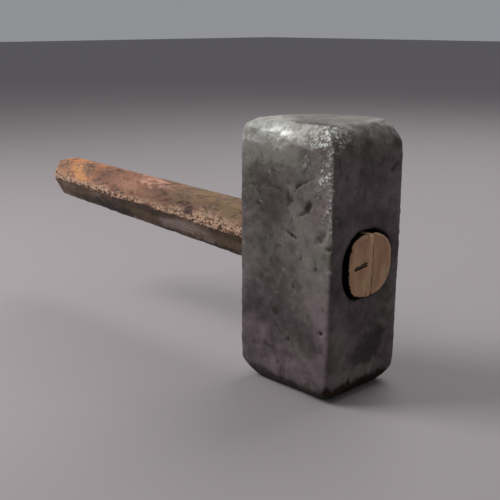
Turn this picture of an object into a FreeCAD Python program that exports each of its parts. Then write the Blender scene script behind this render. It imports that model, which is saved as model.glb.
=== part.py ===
"""Block-headed hand hammer for masonry work.

A forged steel head is held on an eight-sided timber handle by a wooden wedge
and a small steel wedge. Millimetres, +Z up. The head stands on its lower
striking face, and the origin is the centre of that face. The handle leaves
the head towards -X and rises a little. Its wedged end shows on the +X side.
"""
import FreeCAD, Part
import os

# Head: a block that is bevelled all round at both striking faces.
HEAD_LENGTH = 120.0           # striking face to striking face, Z
HEAD_DEPTH = 55.4             # along the handle, X
HEAD_WIDTH = 47.2             # cheek to cheek, Y
UPPER_BEVEL = (10.3, 5.2)     # height, and inset of the striking face
LOWER_BEVEL = (7.6, 4.4)
SIDE_CORNER = 0.9             # cut off each upright edge
FACE_CORNER = 3.8             # cut off each corner of a striking face
HEAD_EDGE_ROUND = 0.8         # worn radius on every outer edge

# Eye: the eight-sided hole through the head, narrowest near its middle.
EYE_HEIGHT = 60.1             # of the eye's centre above the lower face
EYE_WAIST_X = -4.0
EYE_WAIST = (13.4, 12.7)      # half width, half height
EYE_GRIP_MOUTH = (14.2, 13.6)
EYE_WEDGE_MOUTH = (17.0, 15.1)

# Handle: a straight taper up to the eye's waist, then flared where the wedge spreads it.
HANDLE_RISE_DEG = 2.8         # upward slope of the handle towards its butt
HANDLE_FRONT = HEAD_DEPTH / 2 + 1.3
HANDLE_BUTT = -205.5
WAIST_BITE = 0.3              # by which the eye squeezes each side of the handle
FRONT_SIZE = (15.0, 14.1)     # half width, half height
BUTT_SIZE = (11.0, 10.8)
BEVEL_SHARE = 0.42            # how much of the half width each long bevel takes
BEVEL_STEEPNESS = 1.85        # height of a long bevel to its width
BUTT_BEVEL_LENGTH = 4.5
BUTT_BEVEL_INSET = 2.6
FRONT_BEVEL = 0.9
HANDLE_EDGE_ROUND = 1.2

# Wooden wedge, upright in a sawn kerf across the whole handle end.
KERF_DEPTH = 34.0
KERF_MOUTH = 3.2
KERF_BOTTOM = 1.0
WOOD_WEDGE_LENGTH = 31.0

# Steel wedge, driven across the -Y half of the handle end.
STEEL_WEDGE_LENGTH = 20.0
STEEL_WEDGE_THICKNESS = 1.5   # at its outer end
STEEL_WEDGE_TIP = 0.4
STEEL_WEDGE_INNER_Y = -1.9
STEEL_WEDGE_OUTER_Y = -10.4
STEEL_WEDGE_SINK = 0.4        # of its outer end below the end grain
STEEL_WEDGE_SLANT_DEG = 6.0
STEEL_WEDGE_Z = 0.6           # of its middle from the handle's axis

FAR = 60.0                    # reach of cutting tools past what they cut


def loft(rings):
    """Solid with flat sides through a row of closed outlines with parallel sides."""
    outlines = [rings[0], rings[-1]]
    for lower, upper in zip(rings, rings[1:]):
        for i, corner in enumerate(lower):
            outlines.append([lower[i - 1], corner, upper[i], upper[i - 1]])
    faces = [Part.Face(Part.makePolygon(outline + outline[:1])) for outline in outlines]
    shell = Part.makeShell(faces)
    shell.sewShape()
    return Part.makeSolid(shell).removeSplitter()


def box(low, high):
    """Block between two opposite corners."""
    size = [top - bottom for bottom, top in zip(low, high)]
    return Part.makeBox(*size, FreeCAD.Vector(*low))


def cut_corner_ring(half_a, half_b, cut_a, cut_b):
    """Corners of a rectangle whose four corners are cut off."""
    return [
        (half_a - cut_a, -half_b), (half_a, -half_b + cut_b),
        (half_a, half_b - cut_b), (half_a - cut_a, half_b),
        (-half_a + cut_a, half_b), (-half_a, half_b - cut_b),
        (-half_a, -half_b + cut_b), (-half_a + cut_a, -half_b),
    ]


def head_ring(z, inset, corner):
    """Outline of the head at one height."""
    ring = cut_corner_ring(HEAD_DEPTH / 2 - inset, HEAD_WIDTH / 2 - inset, corner, corner)
    return [FreeCAD.Vector(x, y, z) for x, y in ring]


def octagon(x, half_size, inset=0.0):
    """Eight-sided outline across the handle's axis at one place along it."""
    half_y = half_size[0] - inset
    half_z = half_size[1] - inset
    bevel = half_y * BEVEL_SHARE
    ring = cut_corner_ring(half_y, half_z, bevel, bevel * BEVEL_STEEPNESS)
    return [FreeCAD.Vector(x, y, z) for y, z in ring]


def line_value(x, x_start, x_end, start, end):
    """Half width and half height on a straight taper, at x."""
    share = (x - x_start) / (x_end - x_start)
    return tuple(a + (b - a) * share for a, b in zip(start, end))


def handle_size(x):
    """Half width and half height of the handle at x along its axis."""
    waist = tuple(half + WAIST_BITE for half in EYE_WAIST)
    if x < EYE_WAIST_X:
        return line_value(x, HANDLE_BUTT, EYE_WAIST_X, BUTT_SIZE, waist)
    return line_value(x, EYE_WAIST_X, HANDLE_FRONT, waist, FRONT_SIZE)


def to_eye(shape):
    """Move a shape made on the X axis to the eye and give it the handle's rise."""
    placed = shape.copy()
    placed.rotate(FreeCAD.Vector(0, 0, 0), FreeCAD.Vector(0, 1, 0), HANDLE_RISE_DEG)
    placed.translate(FreeCAD.Vector(0, 0, EYE_HEIGHT))
    return placed


def make_eye():
    """The space of the eye, run on in line past both sides of the head."""
    half_depth = HEAD_DEPTH / 2
    grip_end = -half_depth - FAR / 10
    wedge_end = half_depth + FAR / 10
    grip_size = line_value(grip_end, EYE_WAIST_X, -half_depth, EYE_WAIST, EYE_GRIP_MOUTH)
    wedge_size = line_value(wedge_end, EYE_WAIST_X, half_depth, EYE_WAIST, EYE_WEDGE_MOUTH)
    return loft([
        octagon(grip_end, grip_size),
        octagon(EYE_WAIST_X, EYE_WAIST),
        octagon(wedge_end, wedge_size),
    ])


def make_head():
    """Forged block with bevelled ends, softened edges and the eye."""
    lower_height, lower_inset = LOWER_BEVEL
    upper_height, upper_inset = UPPER_BEVEL
    block = loft([
        head_ring(0, lower_inset, FACE_CORNER),
        head_ring(lower_height, 0, SIDE_CORNER),
        head_ring(HEAD_LENGTH - upper_height, 0, SIDE_CORNER),
        head_ring(HEAD_LENGTH, upper_inset, FACE_CORNER),
    ])
    block = block.makeFillet(HEAD_EDGE_ROUND, block.Edges)
    return block.cut(to_eye(make_eye()))


def rounded_length(rings):
    """Stretch of the handle through outlines, with its lengthwise edges rounded."""
    stretch = loft(rings)
    lengthwise = [edge for edge in stretch.Edges if edge.Length > HANDLE_FRONT]
    return stretch.makeFillet(HANDLE_EDGE_ROUND, lengthwise)


def make_blank():
    """The whole handle, with nothing cut in it, along the X axis."""
    butt_shoulder = HANDLE_BUTT + BUTT_BEVEL_LENGTH
    front_shoulder = HANDLE_FRONT - FRONT_BEVEL
    waist = octagon(EYE_WAIST_X, handle_size(EYE_WAIST_X))
    grip = rounded_length([
        octagon(HANDLE_BUTT, BUTT_SIZE, BUTT_BEVEL_INSET),
        octagon(butt_shoulder, handle_size(butt_shoulder)),
        waist,
    ])
    tenon = rounded_length([
        waist,
        octagon(front_shoulder, handle_size(front_shoulder)),
        octagon(HANDLE_FRONT, FRONT_SIZE, FRONT_BEVEL),
    ])
    return grip.fuse(tenon)


def kerf_ring(x, thickness):
    """Upright strip across the handle, wider than the handle is high."""
    half = thickness / 2
    return [
        FreeCAD.Vector(x, -half, -FAR), FreeCAD.Vector(x, half, -FAR),
        FreeCAD.Vector(x, half, FAR), FreeCAD.Vector(x, -half, FAR),
    ]


def make_kerf():
    """The tapered saw cut in the handle end, as the wedge has opened it."""
    bottom = HANDLE_FRONT - KERF_DEPTH
    return loft([kerf_ring(bottom, KERF_BOTTOM), kerf_ring(HANDLE_FRONT, KERF_MOUTH)])


def make_wood_wedge(blank):
    """Hardwood wedge: what the kerf holds, short of the kerf's bottom."""
    tip = HANDLE_FRONT - WOOD_WEDGE_LENGTH
    reach = box((tip, -FAR, -FAR), (HANDLE_FRONT, FAR, FAR))
    return make_kerf().common(blank).common(reach)


def steel_wedge_ring(x, thickness):
    """Outline of the steel wedge across the handle's axis."""
    half = thickness / 2
    return [
        FreeCAD.Vector(x, STEEL_WEDGE_OUTER_Y, STEEL_WEDGE_Z - half),
        FreeCAD.Vector(x, STEEL_WEDGE_INNER_Y, STEEL_WEDGE_Z - half),
        FreeCAD.Vector(x, STEEL_WEDGE_INNER_Y, STEEL_WEDGE_Z + half),
        FreeCAD.Vector(x, STEEL_WEDGE_OUTER_Y, STEEL_WEDGE_Z + half),
    ]


def make_steel_wedge():
    """Plain tapered steel wedge, slightly slanted, just under the end grain."""
    outer = HANDLE_FRONT - STEEL_WEDGE_SINK
    wedge = loft([
        steel_wedge_ring(outer - STEEL_WEDGE_LENGTH, STEEL_WEDGE_TIP),
        steel_wedge_ring(outer, STEEL_WEDGE_THICKNESS),
    ])
    middle = FreeCAD.Vector(0, (STEEL_WEDGE_INNER_Y + STEEL_WEDGE_OUTER_Y) / 2, STEEL_WEDGE_Z)
    wedge.rotate(middle, FreeCAD.Vector(1, 0, 0), STEEL_WEDGE_SLANT_DEG)
    return wedge


def steel_wedge_slot(wedge):
    """The split that the steel wedge sits in, open to the end grain."""
    outer_face = max(wedge.Faces, key=lambda face: face.CenterOfMass.x)
    return wedge.fuse(outer_face.extrude(FreeCAD.Vector(2 * STEEL_WEDGE_SINK, 0, 0)))


def make_parts():
    """Every piece of the hammer, in place, by node name."""
    blank = make_blank()
    steel_wedge = make_steel_wedge()
    tenon = blank.cut(make_kerf()).cut(steel_wedge_slot(steel_wedge))
    head = make_head()
    return {
        "head": head,
        "handle": to_eye(tenon).cut(head),
        "wood_wedge": to_eye(make_wood_wedge(blank)).cut(head),
        "steel_wedge": to_eye(steel_wedge),
    }


def main():
    os.makedirs("parts", exist_ok=True)
    for name, shape in make_parts().items():
        shape.exportStep(f"parts/{name}.step")


main()
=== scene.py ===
"""Block-headed hand hammer on a pale studio floor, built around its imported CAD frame.

Each piece starts as a copy of its CAD solid. The copy is remeshed finely, and its
points are then moved a little, inside the CAD box, so that it is worn, dented or hewn.
"""

import math
import random

import bmesh
import bpy
import numpy as np
from mathutils import Matrix, Vector, noise


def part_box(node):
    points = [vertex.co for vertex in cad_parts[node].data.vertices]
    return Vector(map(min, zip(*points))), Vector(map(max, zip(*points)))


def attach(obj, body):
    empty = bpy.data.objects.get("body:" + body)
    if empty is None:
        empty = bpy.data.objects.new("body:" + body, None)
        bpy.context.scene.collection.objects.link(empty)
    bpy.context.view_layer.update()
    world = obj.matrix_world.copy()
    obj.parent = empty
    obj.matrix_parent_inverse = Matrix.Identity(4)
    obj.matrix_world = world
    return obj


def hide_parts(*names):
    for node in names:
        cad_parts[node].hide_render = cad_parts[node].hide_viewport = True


MM = 0.001

# Camera: where it stands, which way it looks and how long its lens is.
CAMERA_PLACE = (262.96 * MM, -297.19 * MM, 160.68 * MM)
CAMERA_AZIMUTH = 46.02
CAMERA_DROP = 14.21
LENS = 65.5

# How finely each piece is remeshed.
HEAD_VOXEL = 0.68 * MM
HANDLE_VOXEL = 0.62 * MM
WEDGE_VOXEL = 0.35 * MM

HANDLE_RISE_DEG = 2.8
EYE_HEIGHT = 60.1 * MM
EYE_MOUTH = (17.0 * MM, 15.1 * MM)    # half width, half height on the wedged side
STUB_SIZE = (15.0 * MM, 14.1 * MM)
BEVEL_SHARE = 0.42                    # of the half width, for each long bevel of handle and eye
BEVEL_STEEPNESS = 1.85
ROUNDNESS = 2.4                       # 2 makes the worn outline of the handle end an ellipse
FRONT_SIDE_IN = 2.0 * MM              # by which that outline and the eye's are flatter towards -Y
LOWER_BEVEL = 7.6                     # height in mm of the head's bevel at its foot
UPPER_BEVEL = 10.3
FOOT_REACH = 32                       # height in mm up to which the uneven foot stretches the head
WORN_CORNER_WAY = (0.64, -0.62, -0.45)    # which way the flat worn on the lower front corner faces
WORN_CORNER_POINT = (27.0, -23.6, 11.0)   # a point on that flat, in mm
SLOT_ROOM = (1.1, 1.02, 1.1)          # size of the steel wedge's slot to the wedge itself
EYE_FLOOR_UP = 0.8 * MM               # by which the eye's mouth closes in under the handle end


# ---------------------------------------------------------------- stage

def link(item):
    """Put an object in the scene."""
    bpy.context.scene.collection.objects.link(item)
    return item


def make_camera():
    """Camera on the eye side of the hammer, a little above the head."""
    data = bpy.data.cameras.new("camera")
    data.lens = LENS
    data.sensor_width = 36
    data.clip_start = 0.01
    camera = link(bpy.data.objects.new("camera", data))
    camera.location = CAMERA_PLACE
    camera.rotation_euler = (math.radians(90 - CAMERA_DROP), 0, math.radians(CAMERA_AZIMUTH))
    bpy.context.scene.camera = camera


def make_floor():
    """Plain pale studio floor that the head stands on."""
    half = 6.0
    corners = [(-half, -half, 0), (half, -half, 0), (half, half, 0), (-half, half, 0)]
    mesh = bpy.data.meshes.new("floor")
    mesh.from_pydata(corners, [], [(0, 1, 2, 3)])
    floor = link(bpy.data.objects.new("floor", mesh))
    paint = Paint("floor")
    paint.set("Base Color", (0.26, 0.235, 0.24, 1))
    paint.set("Roughness", 0.75)
    mesh.materials.append(paint.material)


def make_light(name, place, size, power):
    """Square white soft box that faces the middle of the head."""
    data = bpy.data.lights.new(name, "AREA")
    data.shape = "SQUARE"
    data.size = size
    data.energy = power
    light = link(bpy.data.objects.new(name, data))
    light.location = place
    aim = Vector((0, 0, EYE_HEIGHT)) - Vector(place)
    light.rotation_euler = aim.to_track_quat("-Z", "Y").to_euler()


def make_world():
    """Even, dim studio surroundings."""
    world = bpy.data.worlds.new("studio")
    world.use_nodes = True
    background = world.node_tree.nodes["Background"]
    background.inputs["Color"].default_value = (0.93, 0.95, 1, 1)
    background.inputs["Strength"].default_value = 0.30
    bpy.context.scene.world = world


# ---------------------------------------------------------------- materials

class Paint:
    """One material's node tree, with a short call for each kind of node."""

    def __init__(self, name):
        self.material = bpy.data.materials.new(name)
        self.material.use_nodes = True
        self.tree = self.material.node_tree
        self.shader = self.tree.nodes["Principled BSDF"]
        self.place = self.tree.nodes.new("ShaderNodeTexCoord").outputs["Object"]

    def wire(self, value, socket):
        """Feed a socket from another socket, or set it to a number or colour."""
        if isinstance(value, bpy.types.NodeSocket):
            self.tree.links.new(value, socket)
        else:
            socket.default_value = value

    def set(self, name, value):
        """Feed one of the shader's own inputs."""
        self.wire(value, self.shader.inputs[name])

    def math(self, operation, *values):
        """Number worked out from others by one operation."""
        node = self.tree.nodes.new("ShaderNodeMath")
        node.operation = operation
        for value, socket in zip(values, node.inputs):
            self.wire(value, socket)
        return node.outputs[0]

    def spread(self, value, noise, width):
        """Value moved up and down by a noise, over the given width."""
        return self.math("ADD", value, self.math("MULTIPLY", self.math("SUBTRACT", noise, 0.5), width))

    def stretch(self, factors):
        """Place, with each direction stretched."""
        node = self.tree.nodes.new("ShaderNodeMapping")
        self.wire(self.place, node.inputs["Vector"])
        node.inputs["Scale"].default_value = factors
        return node.outputs[0]

    def noise(self, size, detail=3, factors=(1, 1, 1), roughness=0.5, seed=0, twist=0):
        """Cloudy value around 0.5, with lumps of about the given size in metres."""
        node = self.tree.nodes.new("ShaderNodeTexNoise")
        node.noise_dimensions = "4D"
        self.wire(self.stretch(factors), node.inputs["Vector"])
        node.inputs["W"].default_value = seed
        node.inputs["Scale"].default_value = 1 / size
        node.inputs["Detail"].default_value = detail
        node.inputs["Roughness"].default_value = roughness
        node.inputs["Distortion"].default_value = twist
        return node.outputs[0]

    def ramp(self, value, low, high):
        """0 below low, 1 above high, and smooth between them."""
        node = self.tree.nodes.new("ShaderNodeMapRange")
        node.interpolation_type = "SMOOTHSTEP"
        self.wire(value, node.inputs["Value"])
        node.inputs["From Min"].default_value = min(low, high)
        node.inputs["From Max"].default_value = max(low, high)
        node.inputs["To Min"].default_value = 0 if low < high else 1
        node.inputs["To Max"].default_value = 1 if low < high else 0
        return node.outputs[0]

    def mix(self, share, first, second):
        """Colour between two colours."""
        node = self.tree.nodes.new("ShaderNodeMix")
        node.data_type = "RGBA"
        self.wire(share, node.inputs[0])
        self.wire(first, node.inputs[6])
        self.wire(second, node.inputs[7])
        return node.outputs[2]

    def shade(self, colour, amount):
        """Colour multiplied by a number."""
        node = self.tree.nodes.new("ShaderNodeVectorMath")
        node.operation = "SCALE"
        self.wire(colour, node.inputs[0])
        self.wire(amount, node.inputs["Scale"])
        return node.outputs[0]

    def number(self, share, first, second):
        """Number between two numbers."""
        node = self.tree.nodes.new("ShaderNodeMix")
        self.wire(share, node.inputs[0])
        self.wire(first, node.inputs[2])
        self.wire(second, node.inputs[3])
        return node.outputs[0]

    def along(self, axis):
        """Place along X, Y or Z, in metres."""
        node = self.tree.nodes.new("ShaderNodeSeparateXYZ")
        self.wire(self.place, node.inputs[0])
        return node.outputs[axis]

    def stored(self, name):
        """Number kept on the mesh's points."""
        node = self.tree.nodes.new("ShaderNodeAttribute")
        node.attribute_name = name
        return node.outputs["Fac"]

    def bump(self, height, depth):
        """Small relief of the given depth in metres."""
        node = self.tree.nodes.new("ShaderNodeBump")
        node.inputs["Distance"].default_value = depth
        self.wire(height, node.inputs["Height"])
        self.set("Normal", node.outputs[0])


def steel_paint():
    """Dark forged steel: soft grey-green and mauve scale, brown marks, bare metal where it is worn,
    painted shade at the foot, on faces that look down and in the gap round the handle end.
    """
    p = Paint("forged_steel")
    blotch = p.noise(0.020, 4, roughness=0.55, twist=0.5)
    lump = p.noise(0.0050, 3, roughness=0.55, seed=15)
    speckle = p.noise(0.0024, 3, roughness=0.6, seed=5)
    grit = p.noise(0.0015, 3, roughness=0.7, seed=12)
    sparkle = p.stored("sparkle")
    mark = p.ramp(p.spread(p.stored("mark"), grit, 0.8), 0.08, 0.85)
    scale = flecked(p, scale_colour(p, blotch, lump, speckle))
    # Brown marks, and the dirt and painted contact shade at the foot that is kept with them.
    scale = p.mix(mark, scale, (0.024, 0.015, 0.010, 1))
    # Painted shade, near black, on the eye's wall in the gap round the handle end.
    scale = p.mix(p.stored("gap_shade"), scale, (0.003, 0.002, 0.002, 1))
    worn = p.spread(p.spread(p.stored("bare"), lump, 0.9), grit, p.number(sparkle, 0.3, 2.0))
    bare = p.ramp(worn, 0.30, 0.95)
    bright = p.mix(p.ramp(lump, 0.35, 0.62), (0.215, 0.205, 0.175, 1), (0.300, 0.300, 0.280, 1))
    bright = p.mix(p.math("MULTIPLY", sparkle, p.ramp(grit, 0.50, 0.60)), bright, (0.70, 0.70, 0.66, 1))
    bright = p.mix(p.math("MULTIPLY", sparkle, p.ramp(grit, 0.46, 0.38)), bright, (0.045, 0.042, 0.034, 1))
    dull = p.math("MAXIMUM", mark, p.stored("gap_shade"))
    p.set("Base Color", p.mix(bare, scale, bright))
    polish = p.math("MULTIPLY", p.stored("polish"), p.ramp(p.spread(lump, grit, 0.8), 0.35, 0.60))
    metallic = p.number(bare, 0.30, p.number(polish, 0.12, 0.60))
    p.set("Metallic", p.math("MULTIPLY", metallic, p.number(mark, 1, 0)))
    roughness = p.number(bare, p.number(blotch, 0.62, 0.50), p.number(polish, 0.62, 0.44))
    p.set("Roughness", p.number(dull, roughness, 0.9))
    p.set("Specular IOR Level", p.number(dull, 0.5, 0.1))
    p.bump(p.math("ADD", p.math("MULTIPLY", grit, p.number(sparkle, 0.15, 2.4)), lump), 0.0004)
    return p.material


def flecked(p, scale):
    """Scale with small dark flecks, and with light ones on the upper half."""
    fleck = p.noise(0.0034, 4, roughness=0.75, seed=31)
    stroke = p.noise(0.0030, 3, (1, 1, 0.45), roughness=0.65, seed=32)
    scale = p.mix(p.math("MULTIPLY", p.ramp(stroke, 0.40, 0.30), 0.75), scale, (0.034, 0.026, 0.021, 1))
    upper = p.number(p.ramp(p.along("Z"), 0.035, 0.060), 0.15, 0.60)
    return p.mix(p.math("MULTIPLY", p.ramp(fleck, 0.58, 0.68), upper), scale, (0.235, 0.230, 0.200, 1))


def scale_colour(p, blotch, lump, speckle):
    """Colour of unworn forging scale: mauve to grey-green, dark to light in soft patches."""
    # The stored tone carries painted shade on the faces that look down.
    shade = p.spread(p.spread(p.stored("tone"), blotch, 1.4), lump, 1.0)
    mauve = p.mix(p.ramp(shade, 0.0, 1.0), (0.040, 0.026, 0.029, 1), (0.170, 0.128, 0.138, 1))
    green = p.mix(p.ramp(shade, 0.0, 1.0), (0.044, 0.038, 0.028, 1), (0.180, 0.168, 0.145, 1))
    scale = p.mix(p.stored("green"), mauve, green)
    return p.shade(scale, p.number(speckle, 0.84, 1.16))


def handle_paint():
    """Weathered hewn timber: red-brown and tan, stained, splintered pale along its lower edges, with
    painted shade underneath and in the eye's gap, and painted highlights near the butt.
    """
    p = Paint("handle_wood")
    grain = p.noise(0.0020, 4, (0.10, 1, 1), 0.6, seed=1)
    patch = p.noise(0.016, 4, (0.6, 1, 1), 0.6, seed=2)
    fine = p.noise(0.0013, 3, (0.6, 1, 1), 0.7, seed=9)
    # Splinters, and at the butt a painted highlight, both pale.
    splinter_and_highlight = p.stored("splinter_and_highlight")
    colour = side_colour(p, patch)
    colour = p.shade(colour, p.number(grain, 0.6, 1.4))
    rough = p.math("MULTIPLY", splinter_and_highlight, p.number(fine, 0.3, 1.7))
    colour = p.mix(p.ramp(rough, 0.05, 0.90), colour, (0.44, 0.27, 0.18, 1))
    between_splinters = p.math("MULTIPLY", splinter_and_highlight, p.ramp(fine, 0.50, 0.42))
    colour = p.mix(between_splinters, colour, (0.050, 0.022, 0.011, 1))
    # Lower half: stains, with painted shade darkening it where it looks down.
    underside = p.shade(underside_stain_and_shade(p, patch), p.number(grain, 0.7, 1.3))
    colour = p.mix(p.stored("under"), colour, underside)
    mark = p.ramp(p.spread(p.stored("mark"), fine, 0.8), 0.15, 0.75)
    colour = p.mix(mark, colour, (0.042, 0.014, 0.006, 1))
    # Painted shade, near black, on the handle inside the eye, where it shows in the gap.
    colour = p.mix(p.stored("gap_shade"), colour, (0.004, 0.002, 0.002, 1))
    p.set("Base Color", colour)
    p.set("Roughness", p.number(grain, 0.55, 0.85))
    p.set("Specular IOR Level", p.number(p.stored("gap_shade"), 0.4, 0.0))
    p.bump(p.math("ADD", grain, p.math("MULTIPLY", fine, p.number(splinter_and_highlight, 0.7, 3.5))), 0.0006)
    return p.material


def side_colour(p, patch):
    """Colour of the handle's upper half: tan at the head, red-brown further out, orange at the butt."""
    blot = p.noise(0.008, 5, (0.6, 1, 1), 0.7, seed=16)
    vein = p.noise(0.006, 4, (0.4, 1, 1), 0.6, seed=18)
    along = p.spread(p.along("X"), patch, 0.10)
    colour = p.mix(p.ramp(along, -0.09, -0.13), (0.125, 0.066, 0.028, 1), (0.180, 0.068, 0.033, 1))
    colour = p.mix(p.ramp(along, -0.160, -0.185), colour, (0.430, 0.160, 0.055, 1))
    colour = p.mix(p.ramp(patch, 0.45, 0.62), colour, (0.210, 0.106, 0.056, 1))
    colour = p.mix(p.ramp(blot, 0.52, 0.64), colour, (0.075, 0.033, 0.015, 1))
    # Painted highlight: a bright orange spot near the butt.
    colour = stained(p, colour, "orange", (0.600, 0.260, 0.080, 1))
    colour = stained(p, colour, "pink", (0.430, 0.215, 0.145, 1))
    colour = stained(p, colour, "brown", (0.110, 0.042, 0.022, 1))
    colour = stained(p, colour, "olive", (0.165, 0.094, 0.034, 1))
    off_vein = p.math("ABSOLUTE", p.math("SUBTRACT", vein, 0.5))
    crack = p.math("MULTIPLY", p.ramp(off_vein, 0.018, 0.004), p.ramp(blot, 0.44, 0.52))
    return p.mix(crack, colour, (0.035, 0.014, 0.007, 1))


def underside_stain_and_shade(p, patch):
    """Colour of the handle's lower half: brown with olive and grey stains, darkened as painted shade where
    it looks down, and painted shade in black at the very bottom.
    """
    stain = p.noise(0.014, 4, (0.5, 1, 1), 0.6, seed=19)
    colour = p.mix(p.ramp(patch, 0.40, 0.58), (0.050, 0.026, 0.015, 1), (0.130, 0.074, 0.046, 1))
    colour = p.mix(p.ramp(stain, 0.54, 0.62), colour, (0.175, 0.125, 0.100, 1))
    colour = p.mix(p.ramp(stain, 0.46, 0.38), colour, (0.062, 0.036, 0.018, 1))
    colour = stained(p, colour, "olive", (0.095, 0.064, 0.030, 1))
    colour = stained(p, colour, "grey", (0.260, 0.200, 0.175, 1))
    return stained(p, colour, "dark", (0.010, 0.006, 0.004, 1))


def stained(p, colour, kind, stain):
    """Colour with one kind of stain over it, where the mesh says it lies; the kind called dark is painted
    shade.
    """
    return p.mix(p.stored(kind), colour, stain)


def end_grain_paint(name, light, dark):
    """Dry sawn end grain: soft upright streaks, fine pores and a little yellow."""
    p = Paint(name)
    streak = p.noise(0.0040, 3, (1, 1, 0.3), 0.5, seed=4)
    pores = p.noise(0.0009, 3, seed=7)
    patch = p.noise(0.010, 3, seed=14)
    colour = p.mix(p.ramp(streak, 0.3, 0.7), dark, light)
    colour = p.mix(p.ramp(patch, 0.5, 0.7), colour, (0.50, 0.36, 0.18, 1))
    p.set("Base Color", p.shade(colour, p.number(pores, 0.85, 1.15)))
    p.set("Roughness", p.number(pores, 0.6, 0.85))
    p.bump(p.math("ADD", streak, pores), 0.0003)
    return p.material


def wedge_steel_paint():
    """Dull steel with brown rust in its hollows."""
    p = Paint("wedge_steel")
    rust = p.noise(0.0015, 4, roughness=0.7)
    p.set("Base Color", p.mix(p.ramp(rust, 0.4, 0.6), (0.120, 0.092, 0.070, 1), (0.065, 0.034, 0.019, 1)))
    p.set("Metallic", p.number(p.ramp(rust, 0.4, 0.6), 0.6, 0.1))
    p.set("Roughness", p.number(rust, 0.4, 0.8))
    p.bump(rust, 0.0003)
    return p.material


# ---------------------------------------------------------------- mesh tools

def copy_of_node(name, node, voxel):
    """New piece: a CAD node's shape, remeshed into small even squares."""
    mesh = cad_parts[node].data.copy()
    mesh.materials.clear()
    joined = bmesh.new()
    joined.from_mesh(mesh)
    bmesh.ops.remove_doubles(joined, verts=joined.verts, dist=1e-6)
    joined.to_mesh(mesh)
    joined.free()
    piece = link(bpy.data.objects.new(name, mesh))
    remesh = piece.modifiers.new("remesh", "REMESH")
    remesh.mode = "VOXEL"
    remesh.voxel_size = voxel
    remesh.use_smooth_shade = True
    bpy.context.view_layer.objects.active = piece
    bpy.ops.object.modifier_apply(modifier=remesh.name)
    return piece


def read(mesh, what):
    """Points or normals of a mesh, one row each."""
    values = np.empty(len(mesh.vertices) * 3)
    mesh.vertices.foreach_get(what, values)
    return values.reshape(-1, 3)


def move(mesh, points):
    """Put the mesh's points in new places."""
    mesh.vertices.foreach_set("co", points.ravel())
    mesh.update()


def store(mesh, name, values):
    """Keep one number on each point, for the material to read."""
    layer = mesh.attributes.new(name, "FLOAT", "POINT")
    layer.data.foreach_set("value", values.astype(np.float32))


def smoothed(mesh, points, rounds, amount):
    """Points drawn towards the mean of their neighbours; amount is 0 to 1 for each point."""
    ends = np.empty(len(mesh.edges) * 2, int)
    mesh.edges.foreach_get("vertices", ends)
    first, second = ends.reshape(-1, 2).T
    count = np.bincount(ends, minlength=len(points))
    for _ in range(rounds):
        total = np.stack([
            np.bincount(first, points[second, axis], len(points))
            + np.bincount(second, points[first, axis], len(points))
            for axis in range(3)
        ], axis=1)
        points = points + 0.5 * amount[:, None] * (total / count[:, None] - points)
    return points


def cloud(points, size, seed, octaves=3, stretch=(1, 1, 1)):
    """Smooth random value at each point, about -1 to 1, with lumps of the given size."""
    shift = Vector((17.3, 9.1, 5.7)) * seed
    scaled = points * np.array(stretch) / size
    return np.array([noise.fractal(Vector(point) + shift, 0.9, 2.0, octaves) for point in scaled])


def between(values, low, high):
    """Smooth step: 0 below low, 1 above high."""
    share = np.clip((values - low) / (high - low), 0, 1)
    return share * share * (3 - 2 * share)


def edge_share(mesh, points, rounds, full):
    """How much each point stands out as on an outer edge, 0 to 1."""
    blurred = smoothed(mesh, points, rounds, np.ones(len(points)))
    stand = np.einsum("ij,ij->i", points - blurred, read(mesh, "normal"))
    return np.clip(stand / full, 0, 1)


def handle_frame(points):
    """Points in the handle's own frame: X along its axis, from the eye's centre."""
    turn = np.array(Matrix.Rotation(math.radians(HANDLE_RISE_DEG), 3, "Y"))
    return (points - np.array([0, 0, EYE_HEIGHT])) @ turn


def from_handle_frame(local):
    """Points back from the handle's own frame."""
    turn = np.array(Matrix.Rotation(math.radians(HANDLE_RISE_DEG), 3, "Y"))
    return local @ turn.T + np.array([0, 0, EYE_HEIGHT])


def reach_of_octagon(local, half_size):
    """Distance from the axis to an eight-sided outline, in each point's direction."""
    half_y, half_z = half_size
    cut_y = BEVEL_SHARE * half_y
    cut_z = BEVEL_STEEPNESS * cut_y
    angle = np.arctan2(local[:, 2], local[:, 1])
    c, s = abs(np.cos(angle)), abs(np.sin(angle))
    slant = (c * cut_z + s * cut_y) / (cut_z * (half_y - cut_y) + cut_y * half_z)
    return 1 / np.maximum.reduce([c / half_y, s / half_z, slant])


def rounder(local, half_size):
    """Scale across the axis that turns an eight-sided outline into a rounded one."""
    half_y, half_z = half_size
    angle = np.arctan2(local[:, 2], local[:, 1])
    c, s = abs(np.cos(angle)) / half_y, abs(np.sin(angle)) / half_z
    oval = (c ** ROUNDNESS + s ** ROUNDNESS) ** (-1 / ROUNDNESS)
    return oval / reach_of_octagon(local, half_size)


def strongest(spotted, count):
    """Depth and darkness at each point, each from the mark that is strongest there."""
    depth = np.zeros(count)
    darkness = np.zeros(count)
    for inside, (deep, dark) in spotted:
        depth = np.maximum(depth, deep * inside)
        darkness = np.maximum(darkness, dark * inside)
    return depth, darkness


def overlaid(spotted, count):
    """Strength at each point, from whichever patch is strongest there."""
    total = np.zeros(count)
    for inside, (strength,) in spotted:
        total = np.maximum(total, strength * inside)
    return total


def wandering(points, size, seed, amount):
    """Random sideways shift of each point in mm, which makes the outlines of marks uneven."""
    return amount * np.stack([cloud(points, size, seed + axis) for axis in range(3)], axis=1)


# ---------------------------------------------------------------- head

# Sides of the head: axis that the side looks along, which way, and axis across it.
CHEEK_FRONT = (1, -1, 0)
CHEEK_BACK = (1, 1, 0)
EYE_SIDE = (0, 1, 1)
GRIP_SIDE = (0, -1, 1)
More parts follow.
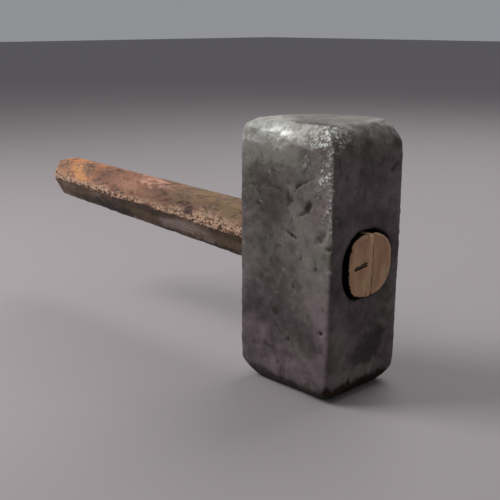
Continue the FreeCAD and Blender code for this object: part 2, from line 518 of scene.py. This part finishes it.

# Marks placed on the sides: side, place across, height, half length, half width, turn
# in mm and degrees, then depth in mm and darkness.
MARKS = [
    # Nicks on the upper cheek, towards the grip and in the middle.
    (CHEEK_FRONT, -17, 91, 4, 1, 0, 0.3, 0.5),
    (CHEEK_FRONT, -15, 88, 2, 1, -60, 0.3, 0.5),
    (CHEEK_FRONT, -5, 91, 5, 0.6, -20, 0.3, 0.5),
    # A slanting scratch in two strokes, and the gouges under it.
    (CHEEK_FRONT, 8, 93, 3, 0.6, 45, 0.3, 0.7),
    (CHEEK_FRONT, 13, 96, 4, 0.4, 20, 0.3, 0.6),
    (CHEEK_FRONT, 3, 87, 3, 2, -80, 0.3, 0.6),
    (CHEEK_FRONT, 14, 85, 3, 1.5, 60, 0.35, 0.75),
    (CHEEK_FRONT, 11, 82, 3, 1, 35, 0.3, 0.6),
    (CHEEK_FRONT, -14, 81, 4, 1, -50, 0.4, 0.5),
    (CHEEK_FRONT, 5, 72, 3, 1, -30, 0.5, 0.8),
    (CHEEK_FRONT, 21, 73, 4, 1.5, 45, 0.3, 0.5),
    # A chip in the front upright edge.
    (CHEEK_FRONT, 26, 69, 1.5, 1, 0, 0.7, 0.6),
    # Lower half: faint strokes, a smudge, a scratch and a pit.
    (CHEEK_FRONT, -10, 53, 4, 0.5, -15, 0.3, 0.3),
    (CHEEK_FRONT, 5, 55, 2, 0.5, 90, 0.3, 0.4),
    (CHEEK_FRONT, -5, 36, 3, 1.5, -20, 0.4, 0.6),
    (CHEEK_FRONT, -2, 28, 5, 0.7, -45, 0.3, 0.5),
    (CHEEK_FRONT, 22, 32, 1.5, 1, 0, 0.6, 0.8),
    # A dirty hollow that runs up from the foot.
    (CHEEK_FRONT, 0, 9, 6, 2, 85, 0.5, 0.4),
    # Eye side: a nick near the top, a faint stroke and a broad stain near the foot.
    (EYE_SIDE, 17, 100, 4, 1, 30, 0.4, 0.5),
    (EYE_SIDE, 12, 26, 5, 1, 0, 0.3, 0.4),
    (EYE_SIDE, 6, 22, 9, 4, 35, 0.1, 0.3),
]

# Broad lighter and darker patches: side, place across, height, half length, half width,
# turn in mm and degrees, then how much lighter.
PATCHES = [
    (CHEEK_FRONT, -13, 86, 15, 10, -30, -0.2),
    (CHEEK_FRONT, -10, 40, 15, 12, 30, -0.2),
    (CHEEK_FRONT, 8, 30, 12, 5, -35, -0.2),
    (CHEEK_FRONT, 20, 47, 17, 7, -70, 0.4),
    (CHEEK_FRONT, 12, 70, 12, 9, 0, 0.15),
    (CHEEK_FRONT, 24, 85, 14, 4, 90, 0.3),
    (CHEEK_FRONT, 25, 55, 35, 2, 90, 0.2),
    (CHEEK_FRONT, -10, 106, 18, 4, 0, 0.3),
    (EYE_SIDE, 4, 21, 10, 6, 35, -0.5),
    (EYE_SIDE, -4, 10, 15, 4, 5, 0.3),
    (EYE_SIDE, 3, 97, 9, 7, -45, -0.25),
    (EYE_SIDE, -14, 90, 14, 6, 90, 0.1),
]

# Clusters of bright fine scratches: the same, with how strong.
GLINTS = [
    (CHEEK_FRONT, 22, 99, 5, 2.5, 80, 0.8),
    (CHEEK_FRONT, 12, 104, 3, 1.5, 65, 0.7),
    (CHEEK_FRONT, 19, 92, 3, 1, 30, 0.5),
    (CHEEK_FRONT, 23, 80, 4, 1.5, 85, 0.5),
    (CHEEK_FRONT, -4, 99, 1, 0.5, 0, 0.6),
    (CHEEK_BACK, -20, 98, 5, 2.5, 80, 0.6),
]

# Greenish places: the same, with how green.
GREENS = [
    (CHEEK_FRONT, -8, 105, 22, 7, 0, 1.0),
    (CHEEK_FRONT, -12, 66, 14, 12, 0, 0.8),
    (CHEEK_FRONT, 6, 76, 13, 9, -60, 0.8),
    (CHEEK_FRONT, 12, 97, 12, 10, 0, 0.8),
    (CHEEK_FRONT, 4, 48, 14, 6, -50, 0.6),
    (CHEEK_FRONT, 9, 25, 9, 4, -40, 0.6),
    (EYE_SIDE, 17, 43, 8, 10, 0, 0.9),
    (EYE_SIDE, -17, 22, 5, 11, 0, 0.8),
    (EYE_SIDE, 11, 29, 7, 2.5, 10, 1.0),
    (EYE_SIDE, -2, 10, 14, 3, 5, 1.0),
    (EYE_SIDE, 0, 110, 24, 5, 0, 0.9),
    (CHEEK_BACK, 0, 75, 20, 20, 0, 0.6),
    (GRIP_SIDE, 0, 85, 14, 22, 0, 0.6),
]


def scattered_marks():
    """Small marks at random over all four sides."""
    chance = random.Random(11)
    marks = []
    for side, count in ((CHEEK_FRONT, 26), (CHEEK_BACK, 30), (EYE_SIDE, 10), (GRIP_SIDE, 22)):
        for _ in range(count):
            place = chance.uniform(-22, 22), chance.uniform(12, 108)
            half_length = chance.uniform(0.7, 2.8)
            half_width = half_length * chance.uniform(0.25, 0.7)
            depth = chance.uniform(0.1, 0.35)
            turn = chance.uniform(-90, 90)
            marks.append((side, *place, half_length, half_width, turn, depth, depth * 1.6))
    return marks


def off_middle(right, up, half_length, half_width, turn):
    """Squared distance from the middle of a turned ellipse, 1 on its outline."""
    c, s = math.cos(math.radians(turn)), math.sin(math.radians(turn))
    return ((right * c + up * s) / half_length) ** 2 + ((up * c - right * s) / half_width) ** 2


def spots(points, normals, marks, wander):
    """How far each point lies inside each mark, 1 at its middle; one row of points for each mark."""
    for side, across, height, half_length, half_width, turn, *amounts in marks:
        axis, way, across_axis = side
        along = points[:, across_axis] / MM - across + wander[:, across_axis]
        up = points[:, 2] / MM - height + wander[:, 2]
        facing = between(normals[:, axis] * way, 0.6, 0.9)
        yield between(off_middle(along, up, half_length, half_width, turn), 2.2, 0.1) * facing, amounts


def foot_stretch(height, across_x, across_y, ragged):
    """How far points move up or down, in mm, so that the lower bevel is uneven."""
    lower = 6.8 + ragged - 1.8 * across_x + 0.8 * across_y + 1.0 * across_x * across_y
    on_bevel = height / LOWER_BEVEL
    above = np.clip((FOOT_REACH - height) / (FOOT_REACH - LOWER_BEVEL), 0, 1)
    return (lower - LOWER_BEVEL) * np.where(height < LOWER_BEVEL, on_bevel, above)


def upper_bulge(below_top, across_x, across_y):
    """How far the upper bevel swells, in mm, most of all at the corner towards -X and -Y."""
    bulge = 1.2 * np.sin(np.pi * np.clip(1 - below_top / UPPER_BEVEL, 0, 1))
    return bulge * (1 + 2.0 * between(-across_x - across_y, 1.2, 1.9))


def shape_head(points, normals):
    """Uneven shape of the forging: leaning eye side, uneven lower bevel, full upper bevel."""
    low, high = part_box("head")
    across_x = points[:, 0] / high.x
    across_y = points[:, 1] / high.y
    height = points[:, 2] / MM
    ragged = cloud(points * np.array((1, 1, 0)), 0.007, 6, 3) * 1.6
    stretch = foot_stretch(height, across_x, across_y, ragged)
    bulge = upper_bulge(high.z / MM - height, across_x, across_y)
    points = points + normals * bulge[:, None] * MM
    full_corner = 0.9 * between(-across_x - across_y, 0.9, 1.5) * between(height, 108, 119) * MM
    points[:, :2] -= full_corner[:, None]
    back_corner = between(across_y - across_x, 0.6, 1.7) * between(height, 95, 118)
    points[:, 2] += (stretch - 1.3 * back_corner) * MM
    lean = 1.5 * np.clip(1 - height / 80, 0, 1) * between(across_x, 0.3, 0.9)
    points[:, 0] -= lean * MM
    return np.clip(open_eye(points), low, high)


def open_eye(points):
    """Round the outline of the eye where it opens on the wedged side."""
    local = handle_frame(points)
    outwards = np.hypot(local[:, 1], local[:, 2]) / reach_of_octagon(local, EYE_MOUTH)
    share = between(local[:, 0], 14 * MM, 22 * MM) * between(outwards, 1.5, 1.05)
    local[:, 1:] *= 1 + (share * (rounder(local, EYE_MOUTH) - 1))[:, None]
    local[:, 1] += FRONT_SIDE_IN * share * between(-local[:, 1], 6 * MM, 14 * MM)
    underneath = between(-local[:, 2], 8 * MM, 14 * MM) * between(local[:, 1], -8 * MM, -3 * MM)
    local[:, 2] += EYE_FLOOR_UP * share * underneath
    return from_handle_frame(local)


def cut_flat(points, normal, through):
    """Points past a plane, brought back to it."""
    normal = np.array(Vector(normal).normalized())
    past = (points - np.array(through) * MM) @ normal
    return points - np.maximum(past, 0)[:, None] * normal


def bare_share(points, normals, edge, glints):
    """How far the scale is worn off: upper end, front upright edge, and a little on every edge."""
    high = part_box("head")[1]
    height = points[:, 2] / MM
    broken = cloud(points, 0.007, 7, 3)
    top = between(height + 2.5 * broken, 107.5, 111.5)
    past_corner = between(-points[:, 0] / high.x - points[:, 1] / high.y, 0.2, 1.3)
    level = between(normals[:, 2], 0.8, 0.98) * (1 - past_corner)
    top *= 1 - 0.35 * between(normals[:, 0], 0.2, 0.6) - 0.85 * level
    top *= 1 - 0.25 * between(points[:, 0], -0.2 * high.x, 0.5 * high.x)
    from_corner = (high.x - points[:, 0]) / MM
    front = between(-normals[:, 1], 0.5, 0.9) * np.exp(-(from_corner / 5.0) ** 2)
    front *= 0.74 * between(height, 15, 95) * (0.75 + 0.6 * broken)
    edges = edge * (0.35 + 0.35 * between(height, 10, 110)) * (0.6 + 0.6 * broken)
    return np.clip(np.maximum.reduce([top, front, edges, 0.6 * glints]), 0, 1)


def sparkle_share(points, bare, glints):
    """Where the bare metal is finely pitted: near the front upright edge and its upper corner."""
    low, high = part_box("head")
    from_edge = np.hypot(points[:, 0] - high.x, points[:, 1] - low.y) / MM
    near = np.exp(-(from_edge / 11) ** 2) * between(points[:, 2], 72 * MM, 98 * MM)
    faint = 0.3 * np.exp(-(from_edge / 4) ** 2) * between(points[:, 2], 30 * MM, 70 * MM)
    return np.clip(near * (0.3 + 0.7 * bare) * 1.5 + faint + 0.10 * bare + glints, 0, 1)


def polish_share(points):
    """Where the bare metal shines: the middle of the front upper bevel, and its front corner."""
    from_middle = np.linalg.norm((points / MM - (-4, -22, 114)) / (12, 6, 4), axis=1)
    from_corner = np.linalg.norm((points / MM - (24, -21, 112)) / (4, 4, 6), axis=1)
    return 0.8 * between(from_middle, 1.5, 0.2) + 0.5 * between(from_corner, 1.5, 0.4)


def eye_gap_shade(points):
    """Painted shade in the gap round the handle end: 1 on the wall of the eye, 0 outside."""
    local = handle_frame(points)
    outwards = np.hypot(local[:, 1], local[:, 2]) / reach_of_octagon(local, EYE_MOUTH)
    half_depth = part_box("head")[1].x
    deep = between(abs(points[:, 0]), half_depth - 0.4 * MM, half_depth - 1.6 * MM)
    open_until = np.where(local[:, 2] < -8 * MM, -5 * MM, 5 * MM)
    return between(outwards, 1.10, 1.04) * deep * between(points[:, 1] - open_until, 4 * MM, -4 * MM)


def head_tone(points, normals, wander):
    """How light the scale is: around 0.5, with painted shade on faces that look down, more on the eye
    side, a little darker on faces that look up, and lighter or darker in patches.
    """
    shade_facing_down = between(-normals[:, 2], 0.15, 0.5)
    tone = 0.5 - 0.36 * shade_facing_down - 0.35 * shade_facing_down * between(normals[:, 0], 0.3, 0.7)
    tone -= 0.12 * between(normals[:, 2], 0.7, 0.95)
    for inside, (lighter,) in spots(points, normals, PATCHES, wander * 3):
        tone += lighter * inside
    return tone


def head_green(points, normals, wander):
    """How far the scale leans from mauve to green."""
    green = between(cloud(points, 0.030, 8, 2), -0.5, 0.6) * between(points[:, 2], 30 * MM, 70 * MM)
    green *= 1 - 0.8 * between(normals[:, 0], 0.6, 0.9)
    green = np.maximum(green, 0.9 * between(normals[:, 2], 0.2, 0.6))
    return np.maximum(green, overlaid(spots(points, normals, GREENS, wander * 4), len(points)))


def foot_dirt_and_shade(points, normals):
    """Dark dirt and painted contact shade at the very bottom of the head, reaching up raggedly on the eye
    side.
    """
    height = points[:, 2] / MM
    ragged = cloud(points, 0.006, 9, 3)
    # Painted contact shade with dirt: darkest at the very bottom, ragged higher up, highest on the eye
    # side.
    bottom = 0.75 * between(height, 3.0, 0.5)
    all_round = 0.50 * between(height + 3.0 * ragged, 8.0, 4.0)
    eye_side = 0.80 * between(height + 3.0 * ragged, 10.0, 6.0) * between(normals[:, 0], 0.3, 0.6)
    return np.maximum.reduce([bottom, all_round, eye_side])


def rough_block():
    """The head remeshed, with softened edges and the forging's uneven shape."""
    head = copy_of_node("worn_head", "head", HEAD_VOXEL)
    mesh = head.data
    move(mesh, smoothed(mesh, read(mesh, "co"), 9, np.ones(len(mesh.vertices))))
    points = shape_head(read(mesh, "co"), read(mesh, "normal"))
    points = cut_flat(points, WORN_CORNER_WAY, WORN_CORNER_POINT)
    height = points[:, 2] / MM
    soft = np.maximum(between(height, 105, 109), 0.8 * between(height, 20, 12))
    move(mesh, smoothed(mesh, points, 12, soft))
    return head


def make_head(material):
    """Forged block: rounded worn edges, wavy sides, dents and pits."""
    head = rough_block()
    mesh = head.data
    points, normals = read(mesh, "co"), read(mesh, "normal")
    edge = edge_share(mesh, points, 22, 0.55 * MM)
    wander = wandering(points, 0.0030, 21, 0.9)
    glints = overlaid(spots(points, normals, GLINTS, wander * 1.5), len(points))
    bare = bare_share(points, normals, edge, glints)
    dents, mark = strongest(spots(points, normals, MARKS + scattered_marks(), wander), len(points))
    for name, values in (
        ("bare", bare),
        # Marks' darkness, with the dirt and painted contact shade at the foot.
        ("mark", np.maximum(mark, foot_dirt_and_shade(points, normals))),
        ("tone", head_tone(points, normals, wander)),
        ("green", head_green(points, normals, wander)),
        ("gap_shade", eye_gap_shade(points)),
        ("polish", polish_share(points)),
        ("sparkle", sparkle_share(points, bare, glints)),
    ):
        store(mesh, name, values)
    coarse = 0.5 + 0.5 * cloud(points, 0.026, 1, 2)
    middle = 0.5 + 0.5 * cloud(points, 0.009, 2, 2)
    grit = 0.5 + 0.5 * cloud(points, 0.0030, 3, 2)
    loss = dents + 0.30 * coarse + (0.10 + 0.3 * bare) * middle + (0.4 * edge + 0.5 * bare) * grit
    move(mesh, points - normals * np.maximum(loss, 0)[:, None] * MM)
    finish_piece(head, material, "head")


# ---------------------------------------------------------------- handle and wedges

# Marks placed on the handle's sides: place along it, height above its axis, half
# length, half width in mm, turn in degrees, then depth in mm and darkness.
HANDLE_MARKS = [
    # Two long splits near the butt.
    (-155, 12, 11, 0.4, 0, 0.4, 0.7),
    (-153, 5, 6, 0.5, 10, 0.3, 0.5),
    # Hacks at the middle of the grip.
    (-104, 7, 4, 0.4, 30, 0.3, 0.5),
    (-101, 9, 6, 0.4, -15, 0.4, 0.6),
    (-97, 6, 5, 0.4, 15, 0.4, 0.6),
    (-92, 5, 3, 0.4, -10, 0.3, 0.6),
    # A dark knot with splits round it.
    (-84, 7, 5, 0.5, 10, 0.6, 0.8),
    (-79, 5, 3, 1.6, 10, 0.5, 0.8),
    (-76, 4, 2, 0.7, -40, 0.5, 0.7),
    (-72, 12, 3, 0.4, 20, 0.3, 0.6),
    # Small hacks towards the head.
    (-67, 8, 2, 0.5, -25, 0.3, 0.6),
    (-60, 9, 2, 0.5, 10, 0.3, 0.6),
    (-55, 6, 2, 0.5, -20, 0.4, 0.6),
    (-54, 12, 2, 0.4, 0, 0.3, 0.5),
    (-47, 8, 3, 0.5, 35, 0.3, 0.6),
    (-42, 10, 2, 0.4, -30, 0.3, 0.6),
    (-37, 4, 5, 0.5, -15, 0.4, 0.5),
    (-36, 8, 2, 0.5, 20, 0.3, 0.6),
]

# Stains on the handle by colour, with painted shade kept under dark: the same, with how strong each is.
STAINS_AND_SHADE = {
    # orange is a painted highlight: a bright orange spot near the butt.
    "orange": [(-180, 7, 7, 3, -10, 0.6), (-172, 5, 4, 1.5, 0, 0.6)],
    "pink": [(-115, 13, 15, 1.5, 0, 0.8), (-135, 8, 14, 2.5, 0, 0.4)],
    "brown": [(-100, 8, 10, 3.5, -15, 0.6), (-79, 5, 6, 3, 0, 0.8), (-150, 9, 8, 2, 0, 0.4)],
    "olive": [(-75, 14, 7, 4, 0, 0.9), (-50, 9, 11, 5, -10, 0.7), (-122, -6, 13, 3, 0, 0.9),
              (-185, -4, 12, 3, 0, 0.5), (-50, -6, 9, 3, 0, 0.5)],
    "grey": [(-84, -5, 18, 3, 3, 0.9), (-190, -2, 8, 2, 0, 0.4)],
    # dark is painted shade: black lines along the bottom edge of the lower half.
    "dark": [(-148, -8, 24, 2.5, 0, 0.9), (-60, -11, 22, 1.5, 0, 0.8)],
}


def handle_spots(local, marks, wander):
    """How far each point lies inside each of the handle's marks; the far side has them further out."""
    back_shift = 20 * between(local[:, 1], 2 * MM, 6 * MM)
    for along, up, half_length, half_width, turn, *amounts in marks:
        right = local[:, 0] / MM - along + wander[:, 0] + back_shift
        above = local[:, 2] / MM - up + wander[:, 2]
        yield between(off_middle(right, above, half_length, half_width, turn), 2.2, 0.1), amounts


def store_stains_and_shade(mesh, local, wander):
    """Keep each colour of stain, and the painted shade, on the handle's points."""
    for kind, places in STAINS_AND_SHADE.items():
        store(mesh, kind, overlaid(handle_spots(local, places, wander), len(local)))


def hew(local, grip):
    """Take the lower half of both long sides in, so that each side has one ridge at its middle."""
    lowered = np.clip(-local[:, 2], 0, 3.0 * MM)
    hewn = local.copy()
    hewn[:, 1] -= np.sign(local[:, 1]) * np.minimum(0.5 * lowered * grip, abs(local[:, 1]))
    return hewn


def rough_handle():
    """The handle remeshed, hewn along the grip, rounded at its wedged end and slotted again."""
    handle = copy_of_node("hewn_handle", "handle", HANDLE_VOXEL)
    mesh = handle.data
    local = handle_frame(read(mesh, "co"))
    outwards = np.hypot(local[:, 1], local[:, 2]) / reach_of_octagon(local, STUB_SIZE)
    stub = between(local[:, 0], 18 * MM, 22 * MM)
    soft = np.maximum(1 - stub, between(outwards, 0.7, 0.9))
    local = handle_frame(smoothed(mesh, read(mesh, "co"), 5, soft))
    grip = grip_share(local)
    local = handle_frame(smoothed(mesh, from_handle_frame(hew(local, grip)), 6, grip))
    local[:, 1:] *= 1 + (stub * (rounder(local, STUB_SIZE) * 1.01 - 1))[:, None]
    local[:, 1] += FRONT_SIDE_IN * stub * between(-local[:, 1], 10 * MM, 15.5 * MM)
    points = smoothed(mesh, from_handle_frame(local), 5, stub * between(outwards, 0.8, 0.9))
    points[:, 0] = np.minimum(points[:, 0] + 0.35 * stub * MM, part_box("handle")[1].x)
    move(mesh, points)
    cut_slot(handle)
    return handle


def cut_slot(handle):
    """Open the steel wedge's slot again, which is too narrow for the remeshed handle to keep."""
    cutter = link(bpy.data.objects.new("slot_cutter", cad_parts["steel_wedge"].data.copy()))
    points = read(cutter.data, "co")
    middle = (points.min(axis=0) + points.max(axis=0)) / 2
    move(cutter.data, middle + (points - middle) * SLOT_ROOM)
    cut = handle.modifiers.new("slot", "BOOLEAN")
    cut.operation = "DIFFERENCE"
    cut.object = cutter
    bpy.context.view_layer.objects.active = handle
    bpy.ops.object.modifier_apply(modifier=cut.name)
    bpy.data.objects.remove(cutter)


def grip_share(local):
    """1 on the part of the handle outside the head on the butt's side, 0 elsewhere."""
    return between(-local[:, 0], 22 * MM, 32 * MM)


def handle_areas(local, facing):
    """Shares of the handle that are splintered, pale at the butt with a painted highlight, and that lie on
    its lower half.
    """
    ragged = cloud(local, 0.010, 36, 3, (0.5, 1, 1))
    above = local[:, 2] / MM + 1.6 * ragged
    under = between(above, 0.6, -0.6)
    field = np.exp(-((local[:, 0] / MM + 55) / 20) ** 2)
    reach = 6.5 + 5.5 * field + 3.0 * cloud(local, 0.006, 32, 3, (0.5, 1, 1))
    splinter_and_highlight = between(above, reach, 0.15 * reach) * (1 - under) * (0.75 + 0.25 * field)
    splinter_and_highlight = np.clip(splinter_and_highlight * (1 + 0.8 * ragged), 0, 1) * between(abs(facing[:, 1]), 0.3, 0.7)
    # Pale at the butt: its end rim is worn and also painted pale as a highlight; a band further in on the
    # upper side is pale too.
    butt_wear_and_highlight = 0.7 * between(-local[:, 0], 199 * MM, 203 * MM) * (1 - under)
    butt_wear_and_highlight += 0.6 * between(-local[:, 0], 176 * MM, 196 * MM) * between(above, 5.5, 2.0) * (1 - under)
    return np.maximum(splinter_and_highlight, butt_wear_and_highlight), under


def make_handle(material, end_material):
    """Hewn timber handle: uneven flats, splits along the grain, chips at its corners."""
    handle = rough_handle()
    mesh = handle.data
    points, normals = read(mesh, "co"), read(mesh, "normal")
    local = handle_frame(points)
    grip = grip_share(local)
    splinter_and_highlight, under = handle_areas(local, normals)
    wander = wandering(local, 0.004, 41, 0.9)
    dents, mark = strongest(handle_spots(local, HANDLE_MARKS, wander), len(points))
    store_stains_and_shade(mesh, local, wander * 3)
    store(mesh, "mark", mark * grip)
    store(mesh, "splinter_and_highlight", splinter_and_highlight * grip)
    # Lower half, which is stained and darkened as painted shade.
    store(mesh, "under", under * grip)
    # Painted shade on the handle inside the eye, seen in the gap round its end.
    store(mesh, "gap_shade", between(local[:, 0], -27.5 * MM, -26.5 * MM))
    wave = 0.5 + 0.5 * cloud(local, 0.016, 31, 3, (0.45, 1, 1))
    hack = 0.5 + 0.5 * cloud(local, 0.006, 32, 3, (0.5, 1, 1))
    grain = 0.5 + 0.5 * cloud(local, 0.0022, 33, 3, (0.10, 1, 1))
    chips = between(cloud(local, 0.0026, 35, 3, (0.6, 1, 1)), -0.2, 0.5)
    edge = edge_share(mesh, points, 14, 0.35 * MM)
    loss = dents + 0.5 * wave + 0.3 * hack + 0.12 * grain + (0.8 * splinter_and_highlight + 0.5 * edge) * chips
    loss *= (0.15 + 0.85 * grip) * (1 - 0.6 * between(normals[:, 2], 0.4, 0.8))
    move(mesh, points - normals * np.maximum(loss, 0)[:, None] * MM)
    finish_piece(handle, material, "handle")
    mesh.materials.append(end_material)
    paint_end(mesh)


def paint_end(mesh):
    """Give the sawn end grain at the eye, and its worn rim, their own material."""
    for face in mesh.polygons:
        if face.center.x > 28.0 * MM and face.normal.x > 0.12:
            face.material_index = 1


def make_wedge(name, node, material):
    """Wedge with softened corners and a slightly rough surface."""
    wedge = copy_of_node(name, node, WEDGE_VOXEL)
    mesh = wedge.data
    points = smoothed(mesh, read(mesh, "co"), 1, np.ones(len(mesh.vertices)))
    move(mesh, points)
    rough = cloud(points, 0.0016, 41, 3)
    points -= read(mesh, "normal") * (0.05 * (0.5 + 0.5 * rough))[:, None] * MM
    move(mesh, points)
    finish_piece(wedge, material, node)


def finish_piece(piece, material, node):
    """Material, smooth shading and the frame's bookkeeping for a piece."""
    piece.data.materials.append(material)
    piece.data.polygons.foreach_set("use_smooth", [True] * len(piece.data.polygons))
    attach(piece, "root")
    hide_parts(node)


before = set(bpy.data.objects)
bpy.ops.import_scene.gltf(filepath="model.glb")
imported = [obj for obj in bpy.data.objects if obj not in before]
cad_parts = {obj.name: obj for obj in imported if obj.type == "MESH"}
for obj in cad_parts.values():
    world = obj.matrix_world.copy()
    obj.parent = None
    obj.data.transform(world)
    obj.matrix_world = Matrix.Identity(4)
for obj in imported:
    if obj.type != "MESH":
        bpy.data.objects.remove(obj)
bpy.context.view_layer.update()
bpy.context.scene.view_settings.view_transform = "Standard"
make_camera()
make_floor()
make_world()
make_light("key", (-0.55, -0.45, 0.62), 0.45, 8)
make_light("fill", (-0.2, 0.7, 0.9), 0.8, 7)
end_grain = end_grain_paint("end_grain", (0.56, 0.32, 0.185, 1), (0.36, 0.195, 0.110, 1))
wedge_wood = end_grain_paint("wedge_wood", (0.62, 0.38, 0.23, 1), (0.44, 0.26, 0.155, 1))
make_head(steel_paint())
make_handle(handle_paint(), end_grain)
make_wedge("oak_wedge", "wood_wedge", wedge_wood)
make_wedge("iron_wedge", "steel_wedge", wedge_steel_paint())
